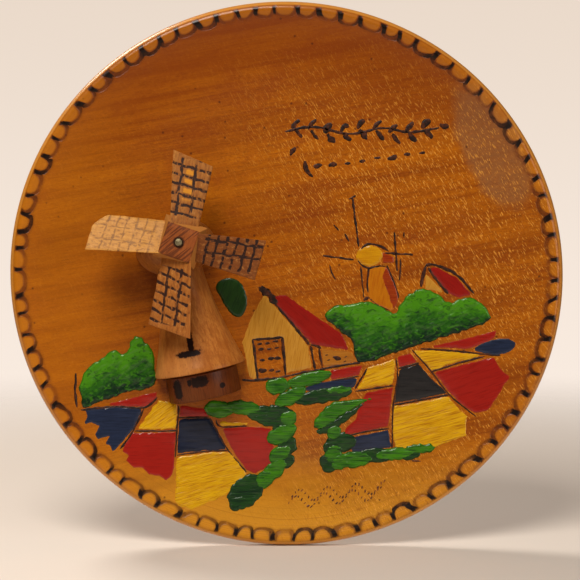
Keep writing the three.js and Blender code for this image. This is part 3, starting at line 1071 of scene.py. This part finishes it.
def makeTower():
    drum, groove, skirt = tower["drumRadius"], tower["grooveRadius"], tower["skirtRadius"]
    top = tower["drumHeight"]
    lip = top - tower["grooveHeight"]
    points = [(0, 0), (drum - 0.35, 0), (drum - 0.1, 0.1), (drum, 0.35), (drum, lip - 0.1)]
    points += [(drum - 0.15, lip + 0.05), (groove, top), (skirt - 0.2, top), (skirt, top + 0.2)]
    flare = (tower["flareRadius"], top + tower["flareHeight"])
    neck = (tower["neckRadius"], tower["neckTop"])
    points += curve((skirt, top + tower["skirtEdge"]), flare, neck, tower["flareSteps"])
    cap = (tower["capRadius"], tower["capHalfHeight"])
    points += arc((0, tower["capCentre"]), cap, -tower["capAngle"], 90, tower["capSteps"])[1:]
    bm = turned([(radius, 0, height) for radius, height in points], (0, 0, 1), tower["turns"])
    # sawn in half along its axis
    whole = bm.verts[:] + bm.edges[:] + bm.faces[:]
    cut = bmesh.ops.bisect_plane(bm, geom=whole, dist=1e-5, plane_co=(0, tower["glue"], 0),
                                 plane_no=(0, 1, 0), clear_outer=True)["geom_cut"]
    bmesh.ops.contextual_create(bm, geom=[item for item in cut if isinstance(item, bmesh.types.BMEdge)])
    bmesh.ops.recalc_face_normals(bm, faces=bm.faces)
    for vert in bm.verts:
        # the lathe and sandpaper leave it a little uneven
        if vert.co.y < 0:
            vert.co += vert.normal * tower["unevenness"] * noise.noise(vert.co * 0.4)
    bmesh.ops.rotate(bm, matrix=towerTurn, verts=bm.verts)
    bmesh.ops.translate(bm, vec=towerSpot, verts=bm.verts)
    keep("tower_body", bm, towerFinish(), "plate", "mill_tower", 40)


# ---- sails ----

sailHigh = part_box("sail_cross")[1]
sails = {
    "thickness": 6,
    "bladeThickness": 1.5,
    "turn": math.radians(9.6),
    "hubCorner": 6.3,
    "hubBack": 8.8,
    "hubTurn": math.radians(9.4),
    "hubCuts": 5,
    "carving": 0.135,
    "edgeBevel": 0.14,
    "gridAcross": 14,
    "gridAlong": 34,
    "barPitch": 2.65,
    "laths": (1.7, -2.1),
    "hubFront": -27.2,
    "darkWood": (150, 88, 34),
    "lightWood": (190, 128, 56),
    "char": (44, 24, 18),
}
# each blade: root and tip corners as (out, across), leading side first, and a colour laid over it that is
# painted light and shade: the right blade darker, the left one lighter, as the light from above falls on
# their slanted faces
blades = [
    {"lead": ((2, -2.9), (25.1, -5.7)), "trail": ((2, 4.3), (22.4, 5.7)), "stain": (0.6, 142, 82, 26)},
    {"lead": ((2, -3.2), (23.9, -4.5)), "trail": ((2, 4.2), (22.5, 7.1)), "stain": (0.85, 112, 56, 20)},
    {"lead": ((2, -3.8), (26, -7.6)), "trail": ((2, 4.2), (24.3, 4.9)), "stain": (0.7, 146, 82, 30)},
    {"lead": ((2, -3.6), (25.3, -6.3)), "trail": ((2, 5.4), (24.6, 4.1)), "stain": (0.6, 196, 138, 56)},
]
topBlade, rightBlade, bottomBlade, leftBlade = 1, 2, 3, 4


def bladeMesh(bm, blade, number):
    grid = bmesh.ops.create_grid(bm, x_segments=sails["gridAcross"], y_segments=sails["gridAlong"],
                                 size=0.5)["verts"]
    faces = facesOf(grid)
    place = bm.verts.layers.float_vector["lattice"]
    which = bm.verts.layers.float["blade"]
    for vert in grid:
        share = vert.co.x + 0.5
        out = vert.co.y + 0.5
        lead = Vector(blade["lead"][0]).lerp(Vector(blade["lead"][1]), out)
        trail = Vector(blade["trail"][0]).lerp(Vector(blade["trail"][1]), out)
        spot = lead.lerp(trail, share)
        if number == leftBlade:
            # this tip was rounded off at its trailing corner
            spot.x -= 3.4 * max(0, share - 0.62) ** 1.6 / 0.38 ** 1.6 * out ** 6
        vert[place] = Vector((spot.x, spot.y, (number - 1) * 40))
        vert[which] = number
        depth = sails["thickness"] + (sails["bladeThickness"] - sails["thickness"]) * share
        vert.co = Vector((spot.y, -depth, spot.x))
    back = bmesh.ops.extrude_face_region(bm, geom=faces, use_keep_orig=True)["geom"]
    backVerts = [item for item in back if isinstance(item, bmesh.types.BMVert)]
    bmesh.ops.translate(bm, vec=(0, sails["bladeThickness"] - 0.02, 0), verts=backVerts)
    quarters = Matrix.Rotation((number - 1) * math.pi / 2, 3, "Y")
    bmesh.ops.rotate(bm, matrix=quarters, verts=grid + backVerts)


def hubMesh(bm):
    # a square block, wider at its back, finely divided so that it can be carved
    which = bm.verts.layers.float["blade"]
    place = bm.verts.layers.float_vector["lattice"]
    hub = bmesh.ops.create_cone(bm, cap_ends=True, segments=4, radius1=sails["hubBack"],
                                radius2=sails["hubCorner"], depth=sails["thickness"] + 0.02)["verts"]
    turn = Matrix.Rotation(sails["hubTurn"], 3, "Y") @ Matrix.Rotation(math.pi / 2, 3, "X")
    bmesh.ops.rotate(bm, matrix=turn @ Matrix.Rotation(math.pi / 4, 3, "Z"), verts=hub)
    bmesh.ops.translate(bm, vec=(0, -sails["thickness"] / 2 - 0.01, 0), verts=hub)
    edges = {edge for vert in hub for edge in vert.link_edges}
    inOrder = sorted(edges, key=lambda edge: tuple(edge.verts[0].co + 2 * edge.verts[1].co))
    bmesh.ops.subdivide_edges(bm, edges=inOrder, cuts=sails["hubCuts"], use_grid_fill=True)
    for vert in bm.verts:
        if vert[which] < 0.5:
            vert[place] = Vector((vert.co.z, vert.co.x, 200))


def sailFinish():
    wood = Finish("carvedSailWood")
    place = wood.attribute("lattice", "Vector")
    out, across = wood.parts(place)[:2]
    blade = wood.attribute("blade")
    y = wood.parts(wood.pattern())[1]

    def grained(size, detail=2.0):
        return wood.cloud(wood.stretch(place, size), detail, 0.6)

    def onBlade(number):
        return wood.ease(abs(blade - number), 0.4, 0.1)

    grain = grained((7, 0.7, 1), 4)
    fine = grained((2.2, 0.22, 1), 2)
    rough = grained((0.7, 0.7, 1), 3)
    weather = grained((1.6, 0.8, 1), 4)
    wood.color = tone(*sails["darkWood"])
    wood.stain(wood.ease(grain, 0.34, 0.68), *sails["lightWood"])
    # painted light and shade: each blade's colour laid over the grain
    for index, own in enumerate(blades):
        share, *shade = own["stain"]
        wood.stain(onBlade(index + 1) * share, *shade)
    onLeft = onBlade(leftBlade)
    wood.stain(wood.ease(rough, 0.5, 0.7) * 0.4 * (1 - onLeft * 0.5), 176, 98, 22)
    wood.stain(wood.ease(weather, 0.5, 0.7) * 0.6, 98, 50, 18)
    wood.stain(wood.ease(weather, 0.44, 0.3) * 0.35, 214, 156, 84)
    # burnt lattice: bars across each blade and two laths along it
    wobble = grained((3.4, 2.6, 1), 1)
    sway = grained((5, 3, 1), 1)
    thick = grained((3.6, 2.2, 1), 1)
    broken = wood.ease(grained((3, 1.2, 1), 2), 0.36, 0.5)
    bent = out + (wobble - 0.5) * 1.1 + rough * 0.4 + across * (0.12 + 0.14 * onBlade(bottomBlade))
    bar = bent / sails["barPitch"]
    offBar = abs(bar - wood.maths("ROUND", bar)) * sails["barPitch"]
    onFace = wood.ease(out, 6.8, 7.4) * wood.ease(abs(across), 6, 5.2) * wood.ease(out, 24, 23)
    thinner = onLeft * 0.14
    bars = wood.ease(offBar - thick * 0.5 + thinner, 0.3, 0) * onFace
    side = across + (sway - 0.5) * 1.2 + rough * 0.4 + (out - 14) * 0.04
    offLath = wood.maths("MINIMUM", *[abs(side - lath) for lath in sails["laths"]])
    laths = wood.ease(offLath - thick * 0.5 + thinner, 0.3, 0) * onFace
    lines = wood.maths("MAXIMUM", bars * (0.5 + 0.5 * broken), laths * (0.35 + 0.65 * broken))
    lines = lines * (0.85 + 0.15 * onBlade(rightBlade) - onLeft * 0.3)
    # gold squares between the bars of the top blade
    between = wood.ease(abs(across), 1.5, 1) * wood.ease(offBar, 0.6, 0.9)
    gold = onBlade(topBlade) * between * wood.ease(out, 11, 13) * wood.ease(out, 22, 21)
    wood.stain(gold * 0.8, 216, 142, 28)
    # end grain of the hub's front, with saw marks, a dark ring at the bore and pale chamfers
    hub = wood.ease(blade, 0.4, 0.1)
    endGrain = wood.blend(wood.ease(fine, 0.35, 0.7), tone(116, 56, 18), tone(150, 84, 34))
    wood.color = wood.blend(hub, wood.color, endGrain)
    saw = wood.cloud(wood.pattern((9, 2, 0.5), math.radians(-38)), 1, 0.5)
    onFront = wood.ease(y, sails["hubFront"], sails["hubFront"] - 0.4)
    front = hub * onFront
    wood.stain(front * 0.6, 136, 68, 24)
    wood.stain(front * wood.ease(saw, 0.47, 0.56) * 0.75, 76, 32, 10)
    boredX, _, boredZ = wood.parts(wood.pattern((1, 1, 1), 0, (nailSpot.x, 0, nailSpot.z)))
    ring = wood.ease((boredX ** 2 + boredZ ** 2) ** 0.5 + rough * 0.5, 2.1, 1.6)
    wood.stain(front * ring * 0.85, 40, 20, 10)
    wood.stain(hub * (1 - onFront) * 0.7, 182, 122, 56)
    wood.stain(lines * 0.4, 110, 60, 34)
    wood.stain(wood.ease(lines, 0.3, 0.9), *sails["char"])
    height = grain * 0.4 + fine * 0.4 + rough * 0.3 - lines * 1.1 - front * saw * 0.9
    return wood.done(0.5 + fine * 0.15, height, 0.14, Coat_Weight=0.08, Coat_Roughness=0.3)


def makeSails():
    bm = bmesh.new()
    bm.verts.layers.float_vector.new("lattice")
    bm.verts.layers.float.new("blade")
    for index, blade in enumerate(blades):
        bladeMesh(bm, blade, index + 1)
    hubMesh(bm)
    bmesh.ops.recalc_face_normals(bm, faces=bm.faces)
    limit = math.radians(40)
    sharpEdges = [edge for edge in bm.edges if len(edge.link_faces) == 2 and edge.calc_face_angle(0) > limit]
    bmesh.ops.bevel(bm, geom=sharpEdges, affect="EDGES", offset=sails["edgeBevel"], offset_type="OFFSET",
                    segments=2, profile=0.5, material=-1)
    for vert in bm.verts:
        vert.co += vert.normal * sails["carving"] * noise.noise(vert.co * 0.55)
    bmesh.ops.rotate(bm, matrix=Matrix.Rotation(sails["turn"], 3, "Y"), verts=bm.verts)
    bmesh.ops.translate(bm, vec=(nailSpot.x, sailHigh.y / mm, nailSpot.z), verts=bm.verts)
    keep("sail_blades", bm, sailFinish(), "sails", "sail_cross", 40)


# ---- nail ----

nail = {
    "headRadius": 1.2,
    "headThickness": 0.6,
    "shankRadius": 0.6,
    "pointLength": 1.5,
    "turns": 48,
    "darkSteel": (104, 92, 66),
    "lightSteel": (150, 138, 106),
    "dirt": (52, 38, 26),
}


def steelFinish():
    steel = Finish("dullNail")
    worn = steel.cloud(steel.pattern((0.7, 0.7, 0.7)), 3, 0.6)
    scratch = steel.cloud(steel.pattern((0.15, 0.6, 1.2), math.radians(30)), 2, 0.6)
    x, _, z = steel.parts(steel.pattern((1, 1, 1), 0, (nailSpot.x, 0, nailSpot.z)))
    away = (x ** 2 + z ** 2) ** 0.5
    steel.color = tone(*nail["darkSteel"])
    steel.stain(steel.ease(worn, 0.35, 0.7), *nail["lightSteel"])
    steel.stain(steel.ease(away + worn * 0.2, 0.98, 1.16), *nail["dirt"])
    return steel.done(0.38 + worn * 0.2, scratch, 0.03, Metallic=0.7)


def makeNail():
    front, back = nailLow.y / mm, nailHigh.y / mm
    head = front + nail["headThickness"]
    shank, reach = nail["shankRadius"], nail["headRadius"]
    points = [(0, back), (shank, back - nail["pointLength"]), (shank, head + 0.1), (shank + 0.1, head)]
    points += [(reach - 0.08, head), (reach, head - 0.1), (reach - 0.02, head - 0.25)]
    points += [(reach - 0.3, front + 0.1), (shank, front + 0.02), (0, front)]
    places = [(nailSpot.x + radius, y, nailSpot.z) for radius, y in points]
    bm = turned(places, (0, 1, 0), nail["turns"], nailSpot)
    keep("nail_body", bm, steelFinish(), "plate", "axle_nail", 50)


# ---- studio ----

studio = {
    "cameraDistance": 450 * mm,
    "cameraElevation": math.radians(2),
    "aimAside": 0.96 * mm,
    "aimDown": 4.17 * mm,
    "widthSeen": 166.8 * mm,
    "sensor": 36,
    "floorRadius": 0.6,
    "worldLight": 0.08,
    "horizon": (-0.15, 0.2),
    "lowSky": (250, 236, 224),
    "highSky": (233, 216, 200),
}
# each lamp: its place and target in metres, its size, power and colour
lamps = {
    "key": ((-0.14, -0.42, 0.44), (0, 0, 0), 0.3, 3.75, (1, 0.96, 0.88)),
    "fill": ((0.62, -0.5, 0.1), (0, 0, 0), 0.5, 2.2, (1, 0.95, 0.9)),
    "edge": ((-0.4, 0.3, 0.55), (0, 0, 0.04), 0.3, 4, (1, 0.94, 0.86)),
}


def lookAt(thing, place, target):
    thing.location = place
    thing.rotation_euler = (Vector(target) - Vector(place)).to_track_quat("-Z", "Y").to_euler()
    bpy.context.scene.collection.objects.link(thing)


def makeCamera():
    low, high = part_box("turned_plate")
    centre = Vector(((low.x + high.x) / 2, low.y, (low.z + high.z) / 2))
    elevation = studio["cameraElevation"]
    place = centre + studio["cameraDistance"] * Vector((0, -math.cos(elevation), math.sin(elevation)))
    data = bpy.data.cameras.new("camera")
    data.sensor_width = studio["sensor"]
    data.lens = studio["sensor"] * studio["cameraDistance"] / studio["widthSeen"]
    data.clip_start = 0.01
    camera = bpy.data.objects.new("camera", data)
    lookAt(camera, place, centre + Vector((studio["aimAside"], 0, -studio["aimDown"])))
    bpy.context.scene.camera = camera
    print("made the camera")


def makeLamps():
    for name, (place, target, size, power, color) in lamps.items():
        data = bpy.data.lights.new(name, "AREA")
        data.shape = "DISK"
        data.size = size
        data.energy = power
        data.color = color
        lookAt(bpy.data.objects.new(name, data), place, target)
    print("made", len(lamps), "lamps")


def makeFloor():
    ground = Finish("paleFloor")
    fine = ground.cloud(ground.pattern((2, 2, 2)), 3, 0.6)
    broad = ground.cloud(ground.pattern((90, 90, 90)), 2, 0.5)
    x, y = ground.parts(ground.pattern((1000, 1000, 1000)))[:2]
    away = (x ** 2 + y ** 2) ** 0.5
    edge = ground.ease(away, studio["floorRadius"] * 0.9, studio["floorRadius"] * 0.25)
    ground.color = tone(220, 208, 198)
    ground.stain(broad * 0.4, 212, 200, 190)
    finish = ground.done(0.8 + fine * 0.1, fine, 0.05, Alpha=edge)
    bm = bmesh.new()
    bmesh.ops.create_grid(bm, x_segments=12, y_segments=12, size=studio["floorRadius"])
    bmesh.ops.translate(bm, vec=(0, 0, plateLow.z), verts=bm.verts)
    objectFrom("studio_floor", bm, finish)
    print("made the floor")


def makeWorld():
    # a pale room to look at, dimmer as a light than it looks, so that the varnish keeps its depth
    room = Finish("paleRoom", "worlds")
    bpy.context.scene.world = room.owner
    up = room.parts(room.node("ShaderNodeTexCoord", output="Generated"))[2]
    room.color = tone(*studio["lowSky"])
    room.stain(room.ease(up, *studio["horizon"]), *studio["highSky"])
    seen = room.node("ShaderNodeLightPath", output="Is Camera Ray")
    strength = seen * (1 - studio["worldLight"]) + studio["worldLight"]
    light = room.node("ShaderNodeBackground", None, {"Color": room.color, "Strength": strength})
    room.node("ShaderNodeOutputWorld", None, {"Surface": light})
    print("made the world")


makePlate()
makePaint()
makeBurntLines()
makeTower()
makeSails()
makeNail()
makeFloor()
makeCamera()
makeLamps()
makeWorld()
bpy.context.scene.view_settings.view_transform = "Standard"
